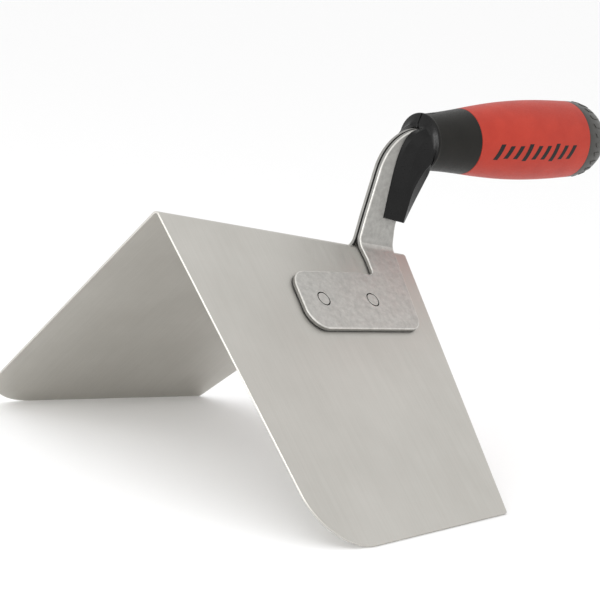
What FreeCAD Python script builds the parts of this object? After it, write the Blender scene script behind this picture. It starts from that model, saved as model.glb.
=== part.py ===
"""Corner trowel: a bent sheet blade, a two-plate shank with a finger guard, and a handle.

Millimetres. The blade, shank, guard and rivets are drawn in the ridge frame: X runs along
the ridge from the nose to the rear, Z is up and the ridge line is the origin of Z. Their
shared placement tips the ridge down to the rear, so that the part stands on the bottom
edges of its two wings with the handle almost parallel to the floor. Handle pieces are drawn
about their own X axis. Left is +Y and right is -Y.
"""
import math
import os

import FreeCAD
import Part
import Sketcher
from FreeCAD import Placement, Rotation, Vector

doc = FreeCAD.newDocument("corner_trowel")
sheet = doc.addObject("Spreadsheet::Sheet", "Dims")

VALUES = {
    # blade
    "ridge_length": 152.0,
    "wing_angle": 96.3,
    "sheet_thickness": 1.0,
    "ridge_radius": 3.0,
    "front_foot_x": 22.8,
    "front_foot_drop": 172.2,
    "rear_foot_x": 143.4,
    "front_corner_radius": 27.0,
    "rear_corner_radius": 1.5,
    # stance
    "pitch": 8.77,
    "handle_rise": 0.9,
    # shank plates
    "plate_thickness": 2.5,
    "fold_radius": 7.0,
    "neck_front": 120.0,
    "neck_rear": 141.8,
    "flange_left": 65.3,
    "flange_slope": 0.117,
    "flange_top_at_neck": 18.6,
    "flange_height": 31.3,
    "flange_rear_foot": 137.6,
    "notch_radius": 3.2,
    "flange_top_radius": 9.0,
    "flange_bottom_radius": 10.0,
    "flange_rear_radius": 8.0,
    "shank_front_x": 120.5,
    "shank_front_z": 13.0,
    "shank_front_radius": 22.0,
    "shank_crown_x": 124.6,
    "shank_crown_z": 58.2,
    "shank_crown_radius": 25.0,
    "shank_rear_x": 139.8,
    "shank_rear_z": 13.0,
    "shank_rear_radius": 20.0,
    "throat_radius": 8.0,
    "tang_top": 5.2,
    "tang_bottom": 5.0,
    "tang_end": 50.0,
    "tang_corner": 3.0,
    # rivets
    "rivet_radius": 3.7,
    "rivet_front_x": 79.5,
    "rivet_pitch": 32.6,
    "rivet_drop": 38.4,
    # finger guard
    "guard_half_width": 8.0,
    "guard_foot_z": 14.0,
    # handle, measured back from the front face of the collar
    "collar_x": 153.5,
    "collar_z": 53.0,
    "collar_length": 18.0,
    "collar_front_radius": 13.6,
    "collar_rear_radius": 15.5,
    "grip_end": 89.0,
    "grip_belly": 64.0,
    "grip_belly_radius": 19.3,
    "grip_rear_radius": 18.7,
    "cap_end": 109.5,
    "cap_shoulder": 100.0,
    "core_radius": 9.5,
    "core_end": 95.0,
    "slot_end": 50.5,
    "pin_radius": 2.0,
    "pin_front": 14.0,
    "pin_rear": 38.0,
    "pin_half_length": 8.5,
}

HALF = "(wing_angle / 2 * 1 deg)"
TILT = "(pitch * 1 deg)"
REACH = "((pitch + handle_rise) * 1 deg)"
FORMULAS = {
    "ridge_tangent": f"=ridge_radius / tan{HALF}",
    "ridge_centre": f"=-ridge_radius / sin{HALF}",
    "ridge_inner": "=ridge_radius - sheet_thickness",
    "rear_foot_drop": f"=front_foot_drop - (rear_foot_x - front_foot_x) * tan{TILT} / cos{HALF}",
    "fold_outer": "=fold_radius + plate_thickness",
    "fold_line": "=fold_outer * tan(wing_angle / 4 * 1 deg)",
    "flange_top_front": "=flange_top_at_neck + flange_slope * (neck_front - flange_left)",
    "flange_foot_front": "=flange_top_front + flange_height",
    "flange_foot_rear": "=flange_foot_front - flange_slope * (flange_rear_foot - flange_left)",
    "rivet_rear_x": "=rivet_front_x + rivet_pitch",
    "rivet_rear_drop": "=rivet_drop - flange_slope * rivet_pitch",
    "tang_knee_x": f"=collar_x - tang_top * sin{REACH}",
    "tang_knee_z": f"=collar_z + tang_top * cos{REACH}",
    "tang_tip_top_x": f"=tang_knee_x + tang_end * cos{REACH}",
    "tang_tip_top_z": f"=tang_knee_z + tang_end * sin{REACH}",
    "tang_tip_low_x": f"=tang_tip_top_x + (tang_top + tang_bottom) * sin{REACH}",
    "tang_tip_low_z": f"=tang_tip_top_z - (tang_top + tang_bottom) * cos{REACH}",
    "throat_x": f"=collar_x + tang_bottom * sin{REACH} - 5 * cos{REACH}",
    "throat_z": f"=collar_z - tang_bottom * cos{REACH} - 5 * sin{REACH}",
    "pin_front_x": f"=collar_x + pin_front * cos{REACH}",
    "pin_front_z": f"=collar_z + pin_front * sin{REACH}",
    "pin_rear_x": f"=collar_x + pin_rear * cos{REACH}",
    "pin_rear_z": f"=collar_z + pin_rear * sin{REACH}",
    "foot_drop": f"=front_foot_drop * cos{HALF} + sheet_thickness * sin{HALF}",
    "stand_z": f"=front_foot_x * sin{TILT} + foot_drop * cos{TILT}",
    "handle_x": f"=collar_x * cos{TILT} + collar_z * sin{TILT}",
    "handle_z": f"=collar_z * cos{TILT} - collar_x * sin{TILT} + stand_z",
    "centre_x": "=(handle_x + cap_end) / 2",
}

for row, (alias, value) in enumerate({**VALUES, **FORMULAS}.items(), start=1):
    sheet.set(f"A{row}", alias)
    sheet.set(f"B{row}", str(value))
    sheet.setAlias(f"B{row}", alias)
doc.recompute()


def value_of(expression):
    """Current value of a number, an alias, or a short sum of them."""
    names = {name: float(getattr(sheet, name)) for name in {**VALUES, **FORMULAS}}
    total = 0.0
    for term in str(expression).replace(" - ", " + -").split(" + "):
        sign = -1.0 if term.startswith("-") else 1.0
        word = term.lstrip("-").strip()
        total += sign * (names[word] if word in names else float(word))
    return total


def bound(expression):
    """The same expression, with its aliases pointed at the sheet."""
    words = str(expression).replace(" - ", " + -").split(" + ")
    terms = []
    for word in words:
        sign = "-" if word.startswith("-") else ""
        name = word.lstrip("-").strip()
        terms.append(sign + (f"Dims.{name}" if name in VALUES or name in FORMULAS else name))
    return " + ".join(terms)


def constrain(sketch, kind, *where, to):
    """Add a dimension driven by the sheet."""
    index = sketch.addConstraint(Sketcher.Constraint(kind, *where, value_of(to)))
    if kind in ("DistanceX", "DistanceY") or value_of(to) > 0:
        sketch.setExpression(f"Constraints[{index}]", bound(to))
    return index


def new_body(name, on_ridge=True):
    """A sub-part. Ridge-frame bodies share one placement; handle bodies get their own."""
    body = doc.addObject("PartDesign::Body", name)
    body.Label = name
    if on_ridge:
        body.Placement = Placement(Vector(0, 0, 0), Rotation(Vector(0, 1, 0), 1.0))
        body.setExpression("Placement.Rotation.Angle", "Dims.pitch * 1 deg")
        body.setExpression("Placement.Base.x", "-Dims.centre_x * 1 mm")
        body.setExpression("Placement.Base.z", "Dims.stand_z * 1 mm")
    else:
        body.Placement = Placement(Vector(0, 0, 0), Rotation(Vector(0, -1, 0), 1.0))
        body.setExpression("Placement.Rotation.Angle", "Dims.handle_rise * 1 deg")
        body.setExpression("Placement.Base.x", "(Dims.handle_x - Dims.centre_x) * 1 mm")
        body.setExpression("Placement.Base.z", "Dims.handle_z * 1 mm")
    return body


def new_sketch(body, name, plane, turn=None, lift=None):
    """A sketch on one of the body's own planes, turned about X or lifted off it."""
    sketch = body.newObject("Sketcher::SketchObject", name)
    origin = [item for item in body.Origin.OriginFeatures if item.Role == plane][0]
    sketch.AttachmentSupport = [(origin, "")]
    sketch.MapMode = "FlatFace"
    if turn:
        sketch.AttachmentOffset = Placement(Vector(0, 0, 0), Rotation(Vector(1, 0, 0), 1.0))
        sketch.setExpression("AttachmentOffset.Rotation.Angle", turn)
    if lift:
        sketch.setExpression("AttachmentOffset.Base.z", lift)
    doc.recompute()
    return sketch


def outline(sketch, corners):
    """Closed outline through virtual corners (x, y, radius), each driven by the sheet."""
    points = [Vector(value_of(x), value_of(y), 0) for x, y, _ in corners]
    radii = [value_of(radius) for _, _, radius in corners]
    count = len(corners)
    trims = []
    for i in range(count):
        back = (points[i - 1] - points[i]).normalize()
        ahead = (points[(i + 1) % count] - points[i]).normalize()
        trims.append(radii[i] / math.tan(back.getAngle(ahead) / 2) if radii[i] else 0.0)
    edges = []
    for i in range(count):
        j = (i + 1) % count
        way = (points[j] - points[i]).normalize()
        first = points[i] + way * trims[i]
        last = points[j] - way * trims[j]
        edges.append(sketch.addGeometry(Part.LineSegment(first, last), False))
    for i in range(count):
        if not radii[i]:
            sketch.addConstraint(Sketcher.Constraint("Coincident", edges[i - 1], 2, edges[i], 1))
            constrain(sketch, "DistanceX", edges[i], 1, to=corners[i][0])
            constrain(sketch, "DistanceY", edges[i], 1, to=corners[i][1])
            continue
        start = sketch.Geometry[edges[i - 1]].EndPoint
        end = sketch.Geometry[edges[i]].StartPoint
        back = (points[i - 1] - points[i]).normalize()
        ahead = (points[(i + 1) % count] - points[i]).normalize()
        middle = points[i] + (back + ahead).normalize() * math.hypot(radii[i], trims[i])
        turns_left = back.cross(ahead).z < 0
        swept = [start - middle, end - middle] if turns_left else [end - middle, start - middle]
        angles = [math.atan2(ray.y, ray.x) for ray in swept]
        circle = Part.Circle(middle, Vector(0, 0, 1), radii[i])
        arc = sketch.addGeometry(Part.ArcOfCircle(circle, *angles), False)
        ends = (1, 2) if turns_left else (2, 1)
        corner = sketch.addGeometry(Part.Point(points[i]), True)
        sketch.addConstraint([
            Sketcher.Constraint("Tangent", edges[i - 1], 2, arc, ends[0]),
            Sketcher.Constraint("Tangent", arc, ends[1], edges[i], 1),
            Sketcher.Constraint("PointOnObject", corner, 1, edges[i - 1]),
            Sketcher.Constraint("PointOnObject", corner, 1, edges[i]),
        ])
        constrain(sketch, "DistanceX", corner, 1, to=corners[i][0])
        constrain(sketch, "DistanceY", corner, 1, to=corners[i][1])
        constrain(sketch, "Radius", arc, to=corners[i][2])
    doc.recompute()


def arc_band(sketch, centre_x, centre_y, inner, outer, start_angle, end_angle):
    """A curved strip between two radii about one centre."""
    centre = Vector(value_of(centre_x), value_of(centre_y), 0)
    angles = (math.radians(start_angle), math.radians(end_angle))
    arcs = []
    for radius in (inner, outer):
        circle = Part.Circle(centre, Vector(0, 0, 1), value_of(radius))
        arcs.append(sketch.addGeometry(Part.ArcOfCircle(circle, *angles), False))
        constrain(sketch, "Radius", arcs[-1], to=radius)
    sketch.addConstraint(Sketcher.Constraint("Coincident", arcs[0], 3, arcs[1], 3))
    constrain(sketch, "DistanceX", arcs[0], 3, to=centre_x)
    constrain(sketch, "DistanceY", arcs[0], 3, to=centre_y)
    for end in (1, 2):
        ray = Vector(math.cos(angles[end - 1]), math.sin(angles[end - 1]), 0)
        near = centre + ray * value_of(inner)
        far = centre + ray * value_of(outer)
        side = sketch.addGeometry(Part.LineSegment(near, far), False)
        sketch.addConstraint([
            Sketcher.Constraint("Coincident", side, 1, arcs[0], end),
            Sketcher.Constraint("Coincident", side, 2, arcs[1], end),
            Sketcher.Constraint("PointOnObject", arcs[0], 3, side),
            Sketcher.Constraint("Angle", side, math.atan2(ray.y, ray.x)),
        ])
    doc.recompute()


def circles(sketch, spots):
    """Round outlines (x, y, radius)."""
    for x, y, radius in spots:
        centre = Vector(value_of(x), value_of(y), 0)
        ring = sketch.addGeometry(Part.Circle(centre, Vector(0, 0, 1), value_of(radius)), False)
        constrain(sketch, "DistanceX", ring, 3, to=x)
        constrain(sketch, "DistanceY", ring, 3, to=y)
        constrain(sketch, "Radius", ring, to=radius)
    doc.recompute()


def solid_from(body, kind, sketch, name, length=None, reverse=False, both=False):
    """Pad or pocket a sketch, its length driven by the sheet."""
    feature = body.newObject(f"PartDesign::{kind}", name)
    feature.Profile = sketch
    feature.Reversed = reverse
    feature.Midplane = both
    if length:
        feature.Length = abs(value_of(length))
        feature.setExpression("Length", bound(length))
    sketch.Visibility = False
    doc.recompute()
    return feature


def turned(body, sketch, name):
    """Revolve a half profile about the body's X axis."""
    feature = body.newObject("PartDesign::Revolution", name)
    feature.Profile = sketch
    axis = [item for item in body.Origin.OriginFeatures if item.Role == "X_Axis"][0]
    feature.ReferenceAxis = (axis, [""])
    feature.Angle = 360.0
    sketch.Visibility = False
    doc.recompute()
    return feature


def wing_turn(side):
    """Turn that lays a sketch on a wing: sketch Y then runs down that wing."""
    return f"(Dims.wing_angle * {0.5 * side} - 90) * 1 deg"


SIDES = (("left", 1), ("right", -1))
RIVETS = (
    ("front", "rivet_front_x", "rivet_drop"),
    ("rear", "rivet_rear_x", "rivet_rear_drop"),
)


def make_blade():
    """Two wings joined by a narrow rounded ridge, with holes for the rivets."""
    body = new_body("blade")
    half_turn = 90 - VALUES["wing_angle"] / 2
    ridge = new_sketch(body, "ridge_section", "YZ_Plane")
    arc_band(ridge, 0, "ridge_centre", "ridge_inner", "ridge_radius", 90 - half_turn, 90 + half_turn)
    solid_from(body, "Pad", ridge, "ridge_bend", "ridge_length")
    for name, side in SIDES:
        wing = new_sketch(body, f"{name}_wing_outline", "XY_Plane", turn=wing_turn(side))
        outline(wing, [
            (0, "ridge_tangent", 0),
            ("front_foot_x", "front_foot_drop", "front_corner_radius"),
            ("rear_foot_x", "rear_foot_drop", "rear_corner_radius"),
            ("ridge_length", "ridge_tangent", 0),
        ])
        solid_from(body, "Pad", wing, f"{name}_wing", "sheet_thickness", reverse=side > 0)
    for name, side in SIDES:
        holes = new_sketch(body, f"{name}_rivet_holes", "XY_Plane", turn=wing_turn(side))
        circles(holes, [(x, drop, "rivet_radius") for _, x, drop in RIVETS])
        solid_from(body, "Pocket", holes, f"{name}_holes", "plate_thickness", both=True)
    return body


def shank_corners():
    """Outline of the upright part of a shank plate, from the fold to the end of the tang."""
    return [
        ("neck_front", "fold_line", 0),
        ("shank_front_x", "shank_front_z", "shank_front_radius"),
        ("shank_crown_x", "shank_crown_z", "shank_crown_radius"),
        ("tang_knee_x", "tang_knee_z", 30),
        ("tang_tip_top_x", "tang_tip_top_z", "tang_corner"),
        ("tang_tip_low_x", "tang_tip_low_z", "tang_corner"),
        ("throat_x", "throat_z", "throat_radius"),
        ("shank_rear_x", "shank_rear_z", "shank_rear_radius"),
        ("neck_rear", "fold_line", 0),
    ]


def make_shank_plate(name, side):
    """A stamped plate: flange on the wing, fold, upright shank and tang in one piece."""
    body = new_body(f"{name}_shank_plate")
    flange = new_sketch(body, f"{name}_flange_outline", "XY_Plane", turn=wing_turn(side))
    outline(flange, [
        ("neck_front", "fold_line", 0),
        ("neck_front", "flange_top_at_neck", "notch_radius"),
        ("flange_left", "flange_top_front", "flange_top_radius"),
        ("flange_left", "flange_foot_front", "flange_bottom_radius"),
        ("flange_rear_foot", "flange_foot_rear", "flange_rear_radius"),
        ("neck_rear", "fold_line", 0),
    ])
    solid_from(body, "Pad", flange, f"{name}_flange", "plate_thickness", reverse=side < 0)
    fold = new_sketch(body, f"{name}_fold_section", "YZ_Plane", lift="Dims.neck_front * 1 mm")
    if side < 0:
        arc_band(fold, "-fold_outer", "fold_line", "fold_radius", "fold_outer",
                 -VALUES["wing_angle"] / 2, 0)
    else:
        arc_band(fold, "fold_outer", "fold_line", "fold_radius", "fold_outer",
                 180, 180 + VALUES["wing_angle"] / 2)
    solid_from(body, "Pad", fold, f"{name}_fold", "neck_rear - neck_front")
    upright = new_sketch(body, f"{name}_shank_outline", "XZ_Plane")
    outline(upright, shank_corners())
    solid_from(body, "Pad", upright, f"{name}_shank", "plate_thickness", reverse=side > 0)
    holes = new_sketch(body, f"{name}_plate_rivet_holes", "XY_Plane", turn=wing_turn(side))
    circles(holes, [(x, drop, "rivet_radius") for _, x, drop in RIVETS])
    solid_from(body, "Pocket", holes, f"{name}_rivet_cut", "fold_outer", both=True)
    pins = new_sketch(body, f"{name}_pin_holes", "XZ_Plane")
    circles(pins, [
        ("pin_front_x", "pin_front_z", "pin_radius"),
        ("pin_rear_x", "pin_rear_z", "pin_radius"),
    ])
    solid_from(body, "Pocket", pins, f"{name}_pin_cut", "fold_outer", both=True)
    return body


def make_rivet(side_name, side, place, x, drop):
    """A flush rivet through one flange and the wing under it."""
    body = new_body(f"{side_name}_{place}_rivet")
    face = new_sketch(body, f"{side_name}_{place}_rivet_circle", "XY_Plane", turn=wing_turn(side))
    circles(face, [(x, drop, "rivet_radius")])
    solid_from(body, "Pad", face, f"{side_name}_{place}_rivet_in", "sheet_thickness",
               reverse=side > 0)
    solid_from(body, "Pad", face, f"{side_name}_{place}_rivet_out", "plate_thickness",
               reverse=side < 0)
    return body


GUARD_ROOT = [
    (131.2, "guard_foot_z", 1.0),
    (130.2, 42.0, 25.0),
    (140.8, 63.6, 9.0),
    (151.2, 65.0, 0),
    (155.2, 39.6, 0),
    (144.4, "guard_foot_z", 1.5),
]
GUARD_CREST = [
    (136.8, "guard_foot_z", 1.0),
    (136.0, 40.5, 22.0),
    (143.6, 59.2, 6.0),
    (151.6, 62.4, 0),
    (154.6, 42.6, 0),
    (141.9, "guard_foot_z", 1.5),
]


def make_guard(name, side):
    """Half of the moulded finger guard, hollowed to fit over its shank plate."""
    body = new_body(f"{name}_finger_guard")
    root = new_sketch(body, f"{name}_guard_root", "XZ_Plane")
    outline(root, GUARD_ROOT)
    solid_from(body, "Pad", root, f"{name}_guard_web", "plate_thickness", reverse=side > 0)
    sections = []
    for part, corners, reach in (
        ("skirt", GUARD_ROOT, "plate_thickness"),
        ("crest", GUARD_CREST, "guard_half_width"),
    ):
        sketch = new_sketch(body, f"{name}_guard_{part}", "XZ_Plane",
                            lift=f"Dims.{reach} * {-side} * 1 mm")
        outline(sketch, corners)
        sections.append(sketch)
    flank = body.newObject("PartDesign::AdditiveLoft", f"{name}_guard_flank")
    flank.Profile = sections[0]
    flank.Sections = [sections[1]]
    flank.Ruled = True
    doc.recompute()
    seat = new_sketch(body, f"{name}_guard_seat_outline", "XZ_Plane")
    outline(seat, shank_corners())
    solid_from(body, "Pocket", seat, f"{name}_guard_seat", "plate_thickness", reverse=side < 0)
    return body


def make_ring_part(name, corners):
    """A handle piece turned from a half profile (distance back, radius, corner radius)."""
    body = new_body(name, on_ridge=False)
    profile = new_sketch(body, f"{name}_profile", "XZ_Plane")
    outline(profile, corners)
    turned(body, profile, f"{name}_turning")
    return body


def make_core():
    """Rod that joins the handle pieces, slotted for the tang and drilled for its pins."""
    body = make_ring_part("handle_core", [
        (0, 0, 0),
        (0, "core_radius", 0),
        ("core_end", "core_radius", 0),
        ("core_end", 0, 0),
    ])
    slot = new_sketch(body, "tang_slot_outline", "XZ_Plane")
    outline(slot, [
        (0, "tang_top", 0),
        ("slot_end", "tang_top", 0),
        ("slot_end", "-tang_bottom", 0),
        (0, "-tang_bottom", 0),
    ])
    solid_from(body, "Pocket", slot, "tang_slot", "plate_thickness + plate_thickness", both=True)
    drill = new_sketch(body, "core_pin_holes", "XZ_Plane")
    circles(drill, [("pin_front", 0, "pin_radius"), ("pin_rear", 0, "pin_radius")])
    solid_from(body, "Pocket", drill, "core_pin_cut", "core_radius + core_radius", both=True)
    return body


def make_pin(name, along):
    """Cross pin through the core and both tangs."""
    body = new_body(name, on_ridge=False)
    circle = new_sketch(body, f"{name}_circle", "XZ_Plane")
    circles(circle, [(along, 0, "pin_radius")])
    solid_from(body, "Pad", circle, f"{name}_pad", "pin_half_length + pin_half_length", both=True)
    return body


def build():
    """All sub-parts, in the order of assembly."""
    parts = [make_blade()]
    for name, side in SIDES:
        parts.append(make_shank_plate(name, side))
        for place, x, drop in RIVETS:
            parts.append(make_rivet(name, side, place, x, drop))
        parts.append(make_guard(name, side))
    parts.append(make_core())
    parts.append(make_pin("front_tang_pin", "pin_front"))
    parts.append(make_pin("rear_tang_pin", "pin_rear"))
    parts.append(make_ring_part("collar", [
        (0, "core_radius", 0),
        (0, "collar_front_radius", 1.2),
        ("collar_length", "collar_rear_radius", 0),
        ("collar_length", "core_radius", 0),
    ]))
    parts.append(make_ring_part("grip_sleeve", [
        ("collar_length", "core_radius", 0),
        ("collar_length", "collar_rear_radius", 0),
        ("grip_belly", "grip_belly_radius", 120),
        ("grip_end", "grip_rear_radius", 0),
        ("grip_end", "core_radius", 0),
    ]))
    parts.append(make_ring_part("end_cap", [
        ("grip_end", "core_radius", 0),
        ("grip_end", "grip_rear_radius", 0),
        ("cap_shoulder", 17.0, 30),
        ("cap_end", 12.0, 8),
        ("cap_end", 0, 0),
        ("core_end", 0, 0),
        ("core_end", "core_radius", 0),
    ]))
    return parts


def main():
    """Build, check and write every sub-part."""
    parts = build()
    doc.recompute()
    for item in doc.Objects:
        bad = {"Invalid", "Error"} & set(item.State)
        if bad:
            raise RuntimeError(f"{item.Label}: {item.State}")
    os.makedirs("parts", exist_ok=True)
    for part in parts:
        if part.Shape.isNull() or not part.Shape.isValid():
            raise RuntimeError(f"{part.Label}: shape is not valid")
        part.Shape.exportStep(f"parts/{part.Label}.step")
        print(part.Label, round(part.Shape.Volume, 1), part.Shape.BoundBox)


main()
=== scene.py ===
"""Studio view of a corner trowel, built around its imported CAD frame."""

import math

import bmesh
import bpy
from mathutils import Matrix, Vector


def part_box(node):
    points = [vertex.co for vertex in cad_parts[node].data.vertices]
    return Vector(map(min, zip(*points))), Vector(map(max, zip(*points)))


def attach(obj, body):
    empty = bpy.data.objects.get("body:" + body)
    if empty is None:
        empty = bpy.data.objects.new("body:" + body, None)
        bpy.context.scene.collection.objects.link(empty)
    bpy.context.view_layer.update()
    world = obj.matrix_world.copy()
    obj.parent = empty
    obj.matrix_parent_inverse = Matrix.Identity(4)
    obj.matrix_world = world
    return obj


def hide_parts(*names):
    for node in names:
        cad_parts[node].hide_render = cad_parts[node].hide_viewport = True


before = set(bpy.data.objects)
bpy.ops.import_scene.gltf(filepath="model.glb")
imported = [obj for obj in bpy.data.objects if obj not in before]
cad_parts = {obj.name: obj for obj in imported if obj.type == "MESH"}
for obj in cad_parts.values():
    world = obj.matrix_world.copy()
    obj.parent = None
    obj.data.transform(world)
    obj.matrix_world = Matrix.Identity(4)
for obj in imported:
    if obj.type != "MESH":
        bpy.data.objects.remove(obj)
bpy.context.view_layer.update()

# Shape, in millimetres, in the ridge frame: X back along the ridge, Y left, Z up from it.
PITCH = math.radians(8.77)
RISE = math.radians(0.9)
HALF = math.radians(96.3 / 2)
WING_Y, WING_Z = math.sin(HALF), math.cos(HALF)
SHEET = 1.0
RIDGE_LENGTH = 152.0
FRONT_FOOT_X, FRONT_FOOT_DROP = 22.8, 172.2
REAR_FOOT_X = 143.4
RIDGE_R = 3.0
RIDGE_TANGENT = RIDGE_R / math.tan(HALF)
RIDGE_ARC = RIDGE_R * (math.pi / 2 - HALF)
PLATE = 2.5
FOLD_R = 9.5
FOLD_LINE = FOLD_R * math.tan(HALF / 2)
FOLD_ARC = FOLD_R * HALF
HOLE_SIDES = 48
RIVET_R = 3.7
RIVETS = {"front": (79.5, 38.4), "rear": (112.1, 34.6)}
SIDES = {"left": 1, "right": -1}

# Handle, in millimetres back from the collar's front face.
COLLAR_LENGTH = 18.0
GRIP_END = 89.0
CORE_R = 9.5

# The blade's lowest point and the collar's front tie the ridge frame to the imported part.
COLLAR = Vector((153.5, 0, 53.0))
COLLAR_FRONT_R = 13.6
TILT = Matrix.Rotation(PITCH, 3, "Y")
LEVEL = Matrix.Rotation(-RISE, 3, "Y")
blade_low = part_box("blade")[0]
collar_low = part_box("collar")[0]
FOOT = FRONT_FOOT_X * math.sin(PITCH)
FOOT += (FRONT_FOOT_DROP * WING_Z + SHEET * WING_Y) * math.cos(PITCH)
SHIFT = Vector((0, 0, blade_low.z * 1000 + FOOT))
SHIFT.x = collar_low.x * 1000 + COLLAR_FRONT_R * math.sin(RISE) - (TILT @ COLLAR).x
HANDLE = TILT @ COLLAR + SHIFT


def to_row(point):
    """Ridge frame in millimetres to row frame in metres."""
    return (TILT @ Vector(point) + SHIFT) / 1000


def on_handle(back, radius, turn):
    """A point about the handle's axis: back along it, out from it, turned from straight up."""
    spot = Vector((back, -radius * math.sin(turn), radius * math.cos(turn)))
    return (HANDLE + LEVEL @ spot) / 1000


# ---------------------------------------------------------------- outlines and meshes

def rounded(corners, step=7.0, closed=True, fixed=None):
    """Outline points through virtual corners (x, y, radius)."""
    count = len(corners)
    points = []
    for i, (x, y, radius) in enumerate(corners):
        here = Vector((x, y))
        if not radius or (not closed and i in (0, count - 1)):
            points.append(here)
            continue
        back = (Vector(corners[i - 1][:2]) - here).normalized()
        ahead = (Vector(corners[(i + 1) % count][:2]) - here).normalized()
        opening = back.angle(ahead)
        trim = radius / math.tan(opening / 2)
        middle = here + (back + ahead).normalized() * math.hypot(radius, trim)
        first = here + back * trim - middle
        last = here + ahead * trim - middle
        sweep = math.atan2(first.x * last.y - first.y * last.x, first.dot(last))
        pieces = fixed or max(2, int(math.degrees(abs(sweep)) / step) + 1)
        for k in range(pieces + 1):
            points.append(middle + Matrix.Rotation(sweep * k / pieces, 2) @ first)
    return points


def hole(x, y):
    """A rivet hole's outline, run the other way round from a plate's."""
    turns = [-2 * math.pi * k / HOLE_SIDES for k in range(HOLE_SIDES)]
    return [Vector((x + RIVET_R * math.cos(t), y + RIVET_R * math.sin(t))) for t in turns]


def inset(points, distance):
    """The loop moved to its left by a distance."""
    count = len(points)
    moved = []
    for i in range(count):
        before = (points[i] - points[i - 1]).normalized()
        after = (points[(i + 1) % count] - points[i]).normalized()
        normal = Vector((-before.y - after.y, before.x + after.x)).normalized()
        lean = max(0.5, normal.dot(Vector((-before.y, before.x))))
        moved.append(points[i] + normal * distance / lean)
    return moved


def rolled_plate(loops, thickness, edges=(0,) * 7):
    """Flat plate with rolled edges. loops: (points, roll at the outer face, roll at the inner).

    edges gives the material index of each strip of the edge, from the inner face to the outer.
    """
    bm = bmesh.new()
    caps = ([], [])
    for points, outer, inner in loops:
        steps = [math.radians(a) for a in (90, 60, 30, 0)]
        levels = [(inner * (1 - math.cos(a)), inner * (1 - math.sin(a))) for a in steps]
        levels += [(outer * (1 - math.cos(a)), thickness - outer * (1 - math.sin(a)))
                   for a in reversed(steps)]
        rings = []
        for offset, height in levels:
            ring = [bm.verts.new((p.x, p.y, height)) for p in inset(points, offset)]
            rings.append(ring)
        count = len(points)
        for level, (low, high) in enumerate(zip(rings, rings[1:])):
            for i in range(count):
                j = (i + 1) % count
                face = bm.faces.new((low[i], low[j], high[j], high[i]))
                face.material_index = edges[level]
        for cap, ring in zip(caps, (rings[0], rings[-1])):
            for i in range(count):
                cap.append(bm.edges.get((ring[i], ring[(i + 1) % count])))
    for cap in caps:
        bmesh.ops.triangle_fill(bm, use_beauty=True, use_dissolve=False, edges=cap)
    bmesh.ops.recalc_face_normals(bm, faces=bm.faces)
    return bm


def score(bm, lines):
    """Cut the flat plate along lines of constant Y, so that it can be bent there."""
    for line in lines:
        bmesh.ops.bisect_plane(bm, geom=bm.verts[:] + bm.edges[:] + bm.faces[:],
                               plane_co=(0, line, 0), plane_no=(0, 1, 0))


def piece_from(name, bm, nodes, material, crease=32):
    """Turn a mesh into a piece of the object."""
    mesh = bpy.data.meshes.new(name)
    bmesh.ops.remove_doubles(bm, verts=bm.verts, dist=2e-7)
    bmesh.ops.recalc_face_normals(bm, faces=bm.faces)
    bm.to_mesh(mesh)
    bm.free()
    piece = bpy.data.objects.new(name, mesh)
    bpy.context.scene.collection.objects.link(piece)
    mesh.shade_smooth()
    mesh.set_sharp_from_angle(angle=math.radians(crease))
    weight = piece.modifiers.new("weighted", "WEIGHTED_NORMAL")
    weight.keep_sharp = True
    mesh.materials.append(material)
    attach(piece, "root")
    if nodes:
        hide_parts(*nodes)
    return piece


def turning(profile, segments=160):
    """Surface turned about the handle's axis from (back, radius) points."""
    bm = bmesh.new()
    rings = []
    for back, radius in profile:
        if radius < 1e-6:
            rings.append([bm.verts.new(on_handle(back, 0, 0))])
            continue
        turns = [2 * math.pi * k / segments for k in range(segments)]
        rings.append([bm.verts.new(on_handle(back, radius, t)) for t in turns])
    for a, b in zip(rings, rings[1:]):
        for k in range(segments):
            m = (k + 1) % segments
            if len(a) == 1:
                bm.faces.new((a[0], b[k], b[m]))
            elif len(b) == 1:
                bm.faces.new((a[k], a[m], b[0]))
            else:
                bm.faces.new((a[k], a[m], b[m], b[k]))
    return bm


# ---------------------------------------------------------------- materials

def new_material(name, color, roughness, metallic=0.0):
    """A plain shader; its uniform values sit on its own sockets."""
    material = bpy.data.materials.new(name)
    material.use_nodes = True
    shader = material.node_tree.nodes["Principled BSDF"]
    shader.inputs["Base Color"].default_value = (*color, 1)
    shader.inputs["Roughness"].default_value = roughness
    shader.inputs["Metallic"].default_value = metallic
    return material, shader


def noise(material, scale, detail=3.0, stretch=(1, 1, 1), roughness=0.55):
    """Noise over the object's own coordinates, stretched along its axes."""
    nodes, links = material.node_tree.nodes, material.node_tree.links
    coords = nodes.new("ShaderNodeTexCoord")
    mapping = nodes.new("ShaderNodeMapping")
    mapping.inputs["Scale"].default_value = stretch
    texture = nodes.new("ShaderNodeTexNoise")
    texture.inputs["Scale"].default_value = scale
    texture.inputs["Detail"].default_value = detail
    texture.inputs["Roughness"].default_value = roughness
    links.new(coords.outputs["Object"], mapping.inputs["Vector"])
    links.new(mapping.outputs["Vector"], texture.inputs["Vector"])
    return texture


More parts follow.
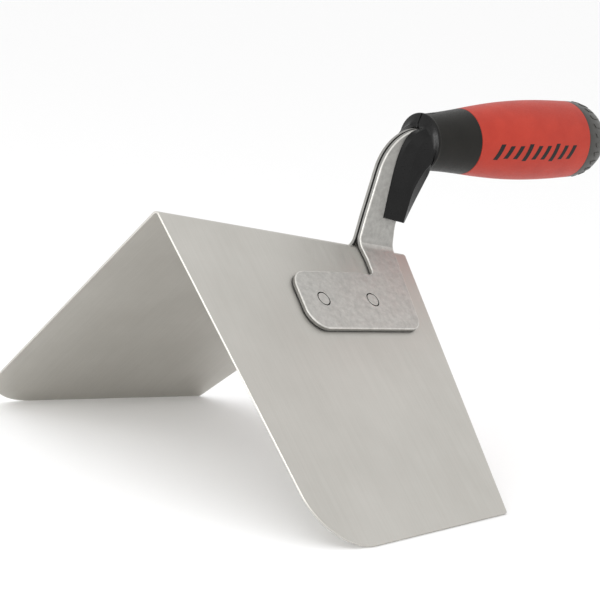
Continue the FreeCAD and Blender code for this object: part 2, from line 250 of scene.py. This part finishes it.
def spread(material, texture, socket, low, high, start=0.35, end=0.65):
    """Drive a number or colour socket between two values with a texture."""
    nodes, links = material.node_tree.nodes, material.node_tree.links
    shader = nodes["Principled BSDF"]
    if isinstance(low, tuple):
        ramp = nodes.new("ShaderNodeValToRGB")
        ramp.color_ramp.elements[0].position = start
        ramp.color_ramp.elements[0].color = (*low, 1)
        ramp.color_ramp.elements[1].position = end
        ramp.color_ramp.elements[1].color = (*high, 1)
        links.new(texture.outputs["Fac"], ramp.inputs["Fac"])
        links.new(ramp.outputs["Color"], shader.inputs[socket])
        return
    reach = nodes.new("ShaderNodeMapRange")
    reach.inputs["From Min"].default_value = start
    reach.inputs["From Max"].default_value = end
    reach.inputs["To Min"].default_value = low
    reach.inputs["To Max"].default_value = high
    links.new(texture.outputs["Fac"], reach.inputs["Value"])
    links.new(reach.outputs["Result"], shader.inputs[socket])


def relief(material, textures, distance):
    """Add the textures' relief, one (texture, strength) after another."""
    nodes, links = material.node_tree.nodes, material.node_tree.links
    normal = None
    for texture, strength in textures:
        bump = nodes.new("ShaderNodeBump")
        bump.inputs["Strength"].default_value = strength
        bump.inputs["Distance"].default_value = distance
        links.new(texture.outputs["Fac"], bump.inputs["Height"])
        if normal:
            links.new(normal.outputs["Normal"], bump.inputs["Normal"])
        normal = bump
    links.new(normal.outputs["Normal"], nodes["Principled BSDF"].inputs["Normal"])


def blade_steel():
    """Fine-brushed stainless sheet."""
    material, _ = new_material("blade_steel", (0.56, 0.545, 0.51), 0.44, 1.0)
    brush = noise(material, 900, 2.0, (1.0, 0.03, 0.03))
    grain = noise(material, 2600, 1.0)
    cloud = noise(material, 26, 4.0)
    spread(material, cloud, "Base Color", (0.545, 0.53, 0.495), (0.58, 0.565, 0.53))
    spread(material, brush, "Roughness", 0.46, 0.54)
    relief(material, [(brush, 0.10), (grain, 0.12)], 0.00004)
    return material


def shank_steel(name, shade):
    """Tumbled steel: satin, faintly mottled. shade darkens or brightens it, for the painted shade
    and painted highlight copies below.
    """
    material, _ = new_material(name, (0.5, 0.5, 0.48), 0.4, 1.0)
    mottle = noise(material, 340, 6.0, (1, 1, 1), 0.75)
    grain = noise(material, 1800, 2.0)
    wear = noise(material, 420, 3.0)
    tones = ((0.445, 0.437, 0.415), (0.62, 0.609, 0.58))
    dull, bright = [tuple(shade * v for v in tone) for tone in tones]
    spread(material, mottle, "Base Color", dull, bright, 0.3, 0.7)
    spread(material, wear, "Roughness", 0.46, 0.58)
    relief(material, [(mottle, 0.16), (grain, 0.14)], 0.00005)
    return material


def moulded(name, low, high, roughness, grain_scale=1500, grain=0.25, gloss=0.25):
    """Moulded rubber or plastic with a fine grain."""
    material, shader = new_material(name, high, roughness)
    shader.inputs["Specular IOR Level"].default_value = gloss
    cloud = noise(material, 90, 4.0)
    fine = noise(material, grain_scale, 2.0)
    spread(material, cloud, "Base Color", low, high, 0.3, 0.7)
    spread(material, fine, "Roughness", roughness - 0.05, roughness + 0.08)
    relief(material, [(fine, grain)], 0.00008)
    return material


STEEL_BLADE = blade_steel()
STEEL_SHANK = shank_steel("shank_steel", 1.0)
# Darker copy for the plates' side faces: painted shade for the dark outline along the edges.
SHADED_EDGE_STEEL = shank_steel("shaded_edge_steel", 0.6)
# Brighter copy for the outer rolled edges: a painted highlight.
HIGHLIGHT_EDGE_STEEL = shank_steel("highlight_edge_steel", 1.25)
# Darker copy for the upright faces: painted shade.
SHADED_UPRIGHT_STEEL = shank_steel("shaded_upright_steel", 0.76)
BLACK_GUARD = moulded("guard_rubber", (0.004, 0.004, 0.004), (0.007, 0.007, 0.007),
                      0.32, 1400, 0.2, 0.2)
BLACK_COLLAR = moulded("collar_rubber", (0.008, 0.0075, 0.006), (0.012, 0.011, 0.009),
                       0.42, 1500, 0.25, 0.2)
RED_GRIP = moulded("grip_rubber", (0.40, 0.028, 0.014), (0.47, 0.038, 0.019), 0.46, 1700, 0.3, 0.3)
BLACK_INK = moulded("ink", (0.008, 0.008, 0.008), (0.012, 0.012, 0.012), 0.45)
GREY_CAP = moulded("cap_plastic", (0.042, 0.041, 0.037), (0.065, 0.063, 0.057),
                   0.38, 1200, 0.35, 0.4)
DARK_CORE = moulded("core_plastic", (0.05, 0.05, 0.05), (0.07, 0.07, 0.07), 0.5)
# Near-black for the rivet grooves and the plates' inner rolled edges: painted shade in the grooves
# and in the gap where a plate meets the blade.
GAP_SHADE = moulded("gap_and_groove_shade", (0.012, 0.012, 0.011), (0.02, 0.02, 0.019),
                      0.6, 1500, 0.25, 0.1)


# ---------------------------------------------------------------- blade

def bend_blade(point):
    """Flat sheet (along, across, depth from the outer face) to the ridge frame."""
    along, across, depth = point
    side = 1 if across > 0 else -1
    reach = abs(across)
    if reach <= RIDGE_ARC:
        turn = across / RIDGE_R
        radius = RIDGE_R - depth
        return (along, radius * math.sin(turn), radius * math.cos(turn) - RIDGE_R / WING_Y)
    drop = RIDGE_TANGENT + reach - RIDGE_ARC
    y = side * (WING_Y * drop - WING_Z * depth)
    return (along, y, -WING_Z * drop - WING_Y * depth)


def make_blade():
    """Two wings on a narrow rounded ridge."""
    rear_drop = FRONT_FOOT_DROP - (REAR_FOOT_X - FRONT_FOOT_X) * math.tan(PITCH) / WING_Z
    spare = RIDGE_ARC - RIDGE_TANGENT
    wing = [
        (0.0, RIDGE_ARC, 20.0),
        (RIDGE_LENGTH, RIDGE_ARC, 20.0),
        (REAR_FOOT_X, rear_drop + spare, 1.5),
        (FRONT_FOOT_X, FRONT_FOOT_DROP + spare, 27.0),
    ]
    right = [(x, -y, r) for x, y, r in wing]
    corners = [wing[0], right[0], right[3], right[2], right[1], *wing[1:]]
    loop = rounded(corners, 3.0)
    loops = [(loop, 0.2, 0.2)]
    for side in SIDES.values():
        for x, drop in RIVETS.values():
            loops.append((hole(x, side * (drop + spare)), 0.06, 0.06))
    bm = rolled_plate(loops, SHEET)
    score(bm, [RIDGE_ARC * k / 7 for k in range(-7, 8)])
    for vert in bm.verts:
        vert.co = to_row(bend_blade((vert.co.x, vert.co.y, SHEET - vert.co.z)))
    return piece_from("blade_sheet", bm, ["blade"], STEEL_BLADE)


# ---------------------------------------------------------------- shank

def bend_shank(point, side):
    """Flat plate (along, up from the fold, out from the inner face) to the ridge frame."""
    along, up, out = point
    if up <= 0:
        drop = FOLD_LINE - up
        y, z = -WING_Y * drop - WING_Z * out, -WING_Z * drop + WING_Y * out
    elif up < FOLD_ARC:
        turn = up / FOLD_R - HALF
        y = (FOLD_R - out) * math.cos(turn) - FOLD_R
        z = (FOLD_R - out) * math.sin(turn) + FOLD_LINE
    else:
        y, z = -out, FOLD_LINE + up - FOLD_ARC
    return (along, -side * y, z)


def axis_point(back, out):
    """Ridge-frame X and Z of a point back along the handle's axis and out above it."""
    slope = PITCH + RISE
    x = COLLAR.x + back * math.cos(slope) - out * math.sin(slope)
    return x, COLLAR.z + back * math.sin(slope) + out * math.cos(slope)


SHANK_TOP = [
    (139.8, 13.0, 20.0),
    (*axis_point(-5, -5.0), 8.0),
    (*axis_point(49.8, -5.0), 3.0),
    (*axis_point(49.8, 5.2), 3.0),
    (*axis_point(0, 5.2), 30.0),
    (124.6, 58.2, 25.0),
    (120.5, 13.0, 22.0),
]


# What follows a plate's own steel in its slots, and the slots along its edge, inner face first.
# The inner roll takes painted shade for the gap where the plate meets the blade, the side takes
# painted shade, the outer roll a painted highlight, and the upright faces painted shade.
SHANK_EXTRAS = (GAP_SHADE, SHADED_EDGE_STEEL, HIGHLIGHT_EDGE_STEEL, SHADED_UPRIGHT_STEEL)
PLATE_EDGES = (1, 1, 1, 2, 3, 3, 3)
UPRIGHT_SHADE_SLOT = 4


def make_shank(name, side):
    """Flange, fold, upright and tang, all one stamped plate."""
    foot_front = 18.6 + 0.117 * (120.0 - 65.3) + 31.3
    foot_rear = foot_front - 0.117 * (137.6 - 65.3)
    lift = FOLD_ARC - FOLD_LINE
    corners = [
        (65.3, FOLD_LINE - foot_front, 10.0),
        (137.6, FOLD_LINE - foot_rear, 8.0),
        (141.8, 0.0, 30.0),
        (141.4, FOLD_ARC, 30.0),
        *[(x, z + lift, r) for x, z, r in SHANK_TOP],
        (119.9, FOLD_ARC - 1.0, 8.0),
        (120.9, FOLD_LINE - 10.0, 8.0),
        (120.3, FOLD_LINE - 19.6, 3.4),
        (109.0, FOLD_LINE - 19.7, 5.0),
        (65.3, FOLD_LINE - 25.0, 9.0),
    ]
    loops = [(rounded(corners, 4.0), 0.55, 0.6)]
    for x, drop in RIVETS.values():
        loops.append((hole(x, FOLD_LINE - drop), 0.12, 0.05))
    bm = rolled_plate(loops, PLATE, PLATE_EDGES)
    score(bm, [FOLD_ARC * k / 10 for k in range(11)])
    # Faces above the middle of the fold take the darker upright steel: painted shade.
    for face in bm.faces:
        if face.material_index == 0 and face.calc_center_median().y > 0.5 * FOLD_ARC:
            face.material_index = UPRIGHT_SHADE_SLOT
    for vert in bm.verts:
        vert.co = to_row(bend_shank(vert.co, side))
    piece = piece_from(f"{name}_shank", bm, [f"{name}_shank_plate"], STEEL_SHANK)
    for extra in SHANK_EXTRAS:
        piece.data.materials.append(extra)
    return piece


def make_rivet(name, side, place):
    """Flush rivet whose head shows as a fine ring."""
    sides = 64
    x, drop = RIVETS[place]
    centre = Vector((x, side * WING_Y * drop, -WING_Z * drop))
    out = Vector((0, side * WING_Z, WING_Y))
    across = out.cross(Vector((1, 0, 0)))
    profile = [
        (-SHEET, 0), (-SHEET, 3.1), (-SHEET + 0.05, 3.2), (-SHEET + 0.3, 3.22),
        (-SHEET + 0.3, 3.68), (PLATE - 0.6, 3.68), (PLATE - 0.6, 3.12),
        (PLATE - 0.08, 3.08), (PLATE, 2.98), (PLATE, 0),
    ]
    bm = bmesh.new()
    rings = []
    for height, radius in profile:
        ring = []
        for k in range(sides):
            turn = 2 * math.pi * k / sides
            ray = Vector((1, 0, 0)) * math.cos(turn) + across * math.sin(turn)
            ring.append(bm.verts.new(to_row(centre + out * height + ray * radius)))
        rings.append(ring)
    for a, b in zip(rings[1:-1], rings[2:-1]):
        for k in range(sides):
            m = (k + 1) % sides
            bm.faces.new((a[k], a[m], b[m], b[k]))
    for ring in (rings[1], rings[-2]):
        bm.faces.new(ring)
    for ring in (rings[0], rings[-1]):
        bmesh.ops.delete(bm, geom=ring, context="VERTS")
    node = f"{name}_{place}_rivet"
    piece = piece_from(f"{node}_head", bm, [node], STEEL_SHANK)
    piece.data.materials.append(GAP_SHADE)
    # The groove bottoms take the near-black material: painted shade in the grooves.
    for face in piece.data.polygons:
        depth = (TILT.inverted() @ (face.center * 1000 - SHIFT) - centre).dot(out)
        if abs(depth - PLATE + 0.6) < 0.01 or abs(depth + SHEET - 0.3) < 0.01:
            face.material_index = 1
    return piece


# ---------------------------------------------------------------- finger guard

# Half the gap between the guard's halves, and where a half meets the face of its plate.
SEAM = 0.12
FACE = PLATE + 0.05

# Sections of the guard, foot to collar: front and rear (x, z), then crest, facet ridge, lip
# and rear edge as (share of the way back, half width), then half width at the start, height
# of the lip and how round the section is. The last five are the bell and its bead.
BELL = ((0.02, 4.0), (0.08, 7.4), (0.20, 10.8), (0.88, 8.8), (SEAM, 0, 1))
BELL_RINGS = ((-8.8, 12.9), (-8.2, 13.6), (-7.3, 13.6), (-6.6, 13.15), (-0.02, 13.6))
GUARD = [
    ((131.2, 14.2), (144.2, 13.6),
     (0.05, 3.4), (0.44, 7.0), (0.61, 7.6), (0.93, 4.6), (FACE, 0.7, 0)),
    ((130.9, 24.0), (146.4, 19.5),
     (0.05, 3.4), (0.41, 7.0), (0.57, 7.7), (0.93, 4.7), (FACE, 0.7, 0)),
    ((130.8, 34.0), (148.4, 25.5),
     (0.05, 3.5), (0.36, 7.1), (0.55, 7.9), (0.93, 5.0), (FACE, 0.7, 0)),
    ((131.2, 42.0), (149.8, 30.6),
     (0.05, 3.8), (0.33, 7.2), (0.60, 8.2), (0.93, 5.6), (FACE, 0.7, 0)),
    ((132.4, 48.4), (150.2, 34.2),
     (0.05, 4.3), (0.30, 7.4), (0.64, 8.8), (0.93, 6.5), (FACE, 0.7, 0)),
    ((134.3, 52.9), (149.8, 36.6),
     (0.05, 5.0), (0.25, 7.8), (0.68, 9.8), (0.93, 7.6), (FACE, 0.6, 0)),
    ((137.6, 56.6), (149.2, 37.8),
     (0.03, 5.6), (0.20, 8.2), (0.66, 10.8), (0.92, 8.4), (FACE, 0.5, 0.1)),
    ((141.0, 58.9), (148.4, 38.5),
     (0.02, 6.2), (0.15, 8.8), (0.60, 11.6), (0.90, 8.6), (FACE, 0.3, 0.35)),
    ((141.7, 60.2), (148.0, 38.6),
     (0.02, 6.4), (0.13, 9.2), (0.58, 12.0), (0.90, 8.7), (SEAM, 0.2, 0.6)),
    *[(axis_point(back, r), axis_point(back, -r), *BELL) for back, r in BELL_RINGS],
]
GUARD_STEPS = 6
COLLAR_ROW = 10 * GUARD_STEPS  # from this row on, the bell looks like the collar


def inside(points, x, y):
    """Whether a point lies within a closed outline."""
    hit = False
    for a, b in zip(points, points[1:] + points[:1]):
        if (a.y > y) != (b.y > y) and x < (b.x - a.x) * (y - a.y) / (b.y - a.y) + a.x:
            hit = not hit
    return hit


def blend_rows(rows, steps):
    """Smooth rows of numbers in between (Catmull-Rom)."""
    count = len(rows)
    out = []
    for i in range(count - 1):
        a, b, c, d = (rows[max(0, i - 1)], rows[i], rows[i + 1], rows[min(count - 1, i + 2)])
        for k in range(steps):
            t = k / steps
            out.append([0.5 * (2 * q + (r - p) * t + (2 * p - 5 * q + 4 * r - s) * t ** 2
                               + (3 * q - p - 3 * r + s) * t ** 3)
                        for p, q, r, s in zip(a, b, c, d)])
    out.append(list(rows[-1]))
    return out


def make_guard(name, side):
    """One half of the moulded guard, with a pocket for its shank plate."""
    metal = rounded([(120, 4.2, 0), (141.8, 4.2, 0), *SHANK_TOP])
    rows = [[v for pair in station for v in pair] for station in GUARD]
    bm = bmesh.new()
    rings = []
    for row in blend_rows(rows, GUARD_STEPS):
        fx, fz, gx, gz, t0, w0, t1, w1, t2, w2, t3, w3, start, lip, bell = row
        front, rear = Vector((fx, fz)), Vector((gx, gz))
        length = (rear - front).length
        covered = [k / 120 for k in range(121)
                   if inside(metal, *(front + (rear - front) * k / 120))]
        edge = max(0.0, covered[0] - 0.004) * length
        last = (covered[-1] + 0.02) * length
        gap = min(1.0, max(0.0, (start - SEAM) / (FACE - SEAM)))
        first = max(0.0, edge - 0.3 * (1 - gap))
        outer = rounded([
            (edge * gap, start, 0),
            (t0 * length, w0, 0.5),
            (t1 * length, w1, 1.0),
            (t2 * length - 0.9, w2, 0.5),
            (t2 * length, w2 + lip, 0.35),
            (t2 * length + 0.8, w2 - 0.2, 0.5),
            (t3 * length, w3, 1.8),
            (length, SEAM, 0),
        ], closed=False, fixed=4)
        half_turn = [math.pi * (k + 0.3) / (len(outer) - 0.4) for k in range(len(outer))]
        outer = [p.lerp(Vector((1 - math.cos(a), math.sin(a))) * length / 2, bell)
                 for p, a in zip(outer, half_turn)]
        pocket = [(last, SEAM), (last, FACE), (first, FACE), (first, start)]
        way = (rear - front) / length
        ring = []
        for along, wide in [tuple(p) for p in outer] + pocket:
            spot = front + way * along
            ring.append(bm.verts.new(to_row((spot.x, side * wide, spot.y))))
        rings.append(ring)
    count = len(rings[0])
    for level, (a, b) in enumerate(zip(rings, rings[1:])):
        for i in range(count):
            j = (i + 1) % count
            face = bm.faces.new((a[i], a[j], b[j], b[i]))
            face.material_index = int(level >= COLLAR_ROW)
    for ring in (rings[0], rings[-1]):
        bm.faces.new(ring)
    bmesh.ops.dissolve_degenerate(bm, dist=1e-7, edges=bm.edges)
    node = f"{name}_finger_guard"
    piece = piece_from(f"{name}_guard", bm, [node], BLACK_GUARD, 40)
    piece.data.materials.append(BLACK_COLLAR)
    return piece


# ---------------------------------------------------------------- handle

def grip_radius(back):
    """Radius of the grip's barrel."""
    keys = [(COLLAR_LENGTH, 15.5), (29.0, 16.9), (42.0, 18.2), (55.0, 18.95), (66.0, 19.15),
            (78.0, 18.98), (GRIP_END, 18.55)]
    for (x0, r0), (x1, r1) in zip(keys, keys[1:]):
        if back <= x1:
            before = keys[max(0, keys.index((x0, r0)) - 1)]
            after = keys[min(len(keys) - 1, keys.index((x1, r1)) + 1)]
            m0 = (r1 - before[1]) / (x1 - before[0]) * (x1 - x0)
            m1 = (after[1] - r0) / (after[0] - x0) * (x1 - x0)
            t = (back - x0) / (x1 - x0)
            return ((2 * t ** 3 - 3 * t ** 2 + 1) * r0 + (t ** 3 - 2 * t ** 2 + t) * m0
                    + (3 * t ** 2 - 2 * t ** 3) * r1 + (t ** 3 - t ** 2) * m1)
    return keys[-1][1]


CAP = [(GRIP_END, 0.0), (GRIP_END, 18.1), (89.3, 18.4), (90.2, 18.55), (92.5, 18.4), (95.0, 18.0),
       (97.5, 17.35), (100.0, 16.4), (102.4, 15.05), (104.4, 13.4), (106.2, 11.2),
       (107.7, 8.5), (108.7, 5.6), (109.3, 2.7), (109.5, 0.0)]


def cap_radius(back):
    """Radius of the end cap's dome."""
    for (x0, r0), (x1, r1) in zip(CAP, CAP[1:]):
        if x0 < x1 and x0 <= back <= x1:
            return r0 + (r1 - r0) * (back - x0) / (x1 - x0)
    return 0.0


def make_handle():
    """Collar, grip sleeve, end cap and their hidden core."""
    collar = [(0.0, CORE_R), (0.0, COLLAR_FRONT_R)]
    collar += [(k * 1.77, COLLAR_FRONT_R + 1.85 * (k / 10) ** 1.2) for k in range(1, 11)]
    collar += [(COLLAR_LENGTH, 15.2), (COLLAR_LENGTH, CORE_R)]
    piece_from("collar_ring", turning(collar + collar[:1]), ["collar"],
               BLACK_COLLAR)

    grip = [(COLLAR_LENGTH, CORE_R), (COLLAR_LENGTH, 15.25)]
    grip += [(back, grip_radius(back)) for back in [18.25 + 70.5 * k / 48 for k in range(49)]]
    grip += [(GRIP_END, 18.35), (GRIP_END, CORE_R)]
    piece_from("grip", turning(grip + grip[:1]), ["grip_sleeve"], RED_GRIP)

    piece_from("cap", turning(CAP), ["end_cap"], GREY_CAP)

    core = [(0.2, 0.0), (0.2, 9.4), (88.8, 9.4), (88.8, 0.0)]
    piece_from("core", turning(core, 48), ["handle_core", "front_tang_pin", "rear_tang_pin"],
               DARK_CORE)


def surface_patch(bm, back, turn, width, span, lean, lift, radius_at):
    """A thin raised patch that follows the handle: centre, size, lean and height."""
    rows, columns = 8, 6
    top, low = [], []
    for i in range(rows + 1):
        a = (i / rows - 0.5) * span
        for j in range(columns + 1):
            x = back + (j / columns - 0.5) * width + lean * (i / rows - 0.5)
            radius = radius_at(x)
            top.append(bm.verts.new(on_handle(x, radius + lift, turn + a)))
            low.append(bm.verts.new(on_handle(x, radius - 0.1, turn + a)))
    stride = columns + 1
    for i in range(rows):
        for j in range(columns):
            k = i * stride + j
            for grid in (top, low):
                bm.faces.new((grid[k], grid[k + 1], grid[k + stride + 1], grid[k + stride]))
    edge = list(range(stride))
    edge += [i * stride + columns for i in range(1, rows + 1)]
    edge += [rows * stride + j for j in range(columns - 1, -1, -1)]
    edge += [i * stride for i in range(rows - 1, 0, -1)]
    for a, b in zip(edge, edge[1:] + edge[:1]):
        bm.faces.new((top[a], top[b], low[b], low[a]))


def make_marks():
    """Plain slanted bars on both sides of the grip, and raised bars round the cap."""
    bm = bmesh.new()
    for facing in (1, -1):
        for k in range(9):
            tall = 0.46 if k % 3 == 0 else 0.36
            turn = facing * math.radians(99)
            surface_patch(bm, 29 + 5.9 * k, turn, 2.6, tall, -3.4 * facing, 0.05, grip_radius)
    piece_from("grip_bars", bm, [], BLACK_INK, 50)
    bm = bmesh.new()
    for k in range(24):
        turn = 2 * math.pi * k / 24
        surface_patch(bm, 96.0, turn, 4.4, 0.11, 1.2, 0.30, cap_radius)
    piece_from("cap_bars", bm, [], GREY_CAP, 50)


make_blade()
for side_name, side_sign in SIDES.items():
    make_shank(side_name, side_sign)
    for rivet_place in RIVETS:
        make_rivet(side_name, side_sign, rivet_place)
    make_guard(side_name, side_sign)
make_handle()
make_marks()


# ---------------------------------------------------------------- stage

def make_stage():
    """Pale floor, white surround and soft lamps."""
    bpy.ops.mesh.primitive_plane_add(size=60, location=(0, 0, 0))
    floor = bpy.context.object
    floor.name = "floor"
    material, shader = new_material("floor_paper", (0.96, 0.96, 0.96), 0.9)
    shader.inputs["Specular IOR Level"].default_value = 0.1
    floor.data.materials.append(material)
    world = bpy.data.worlds.new("surround")
    world.use_nodes = True
    world.node_tree.nodes["Background"].inputs["Color"].default_value = (1, 1, 1, 1)
    world.node_tree.nodes["Background"].inputs["Strength"].default_value = 1.0
    bpy.context.scene.world = world
    bpy.context.scene.view_settings.view_transform = "Standard"
    lamps = [
        ("front_box", (-0.9, -0.3, 1.0), (0.7, 0.7), 2.2),
        ("left_box", (-0.3, -1.3, 0.7), (0.9, 0.9), 1.2),
        ("low_box", (-0.75, 0.02, 0.16), (0.3, 0.2), 2.6),
    ]
    for name, place, size, power in lamps:
        data = bpy.data.lights.new(name, "AREA")
        data.shape = "RECTANGLE"
        data.size, data.size_y = size
        data.energy = power
        lamp = bpy.data.objects.new(name, data)
        lamp.location = place
        aim = Vector((0, 0, 0.1)) - Vector(place)
        lamp.rotation_euler = aim.to_track_quat("-Z", "Y").to_euler()
        bpy.context.scene.collection.objects.link(lamp)


def make_camera():
    """Camera low to the front left of the blade, rolled as the part is held."""
    data = bpy.data.cameras.new("camera")
    data.lens = 156.0
    data.sensor_width = 36.0
    data.clip_start = 0.05
    camera = bpy.data.objects.new("camera", data)
    camera.location = (-0.82798, -0.85202, 0.29451)
    camera.rotation_euler = [math.radians(a) for a in (79.141, -6.539, -41.289)]
    bpy.context.scene.collection.objects.link(camera)
    bpy.context.scene.camera = camera


make_stage()
make_camera()
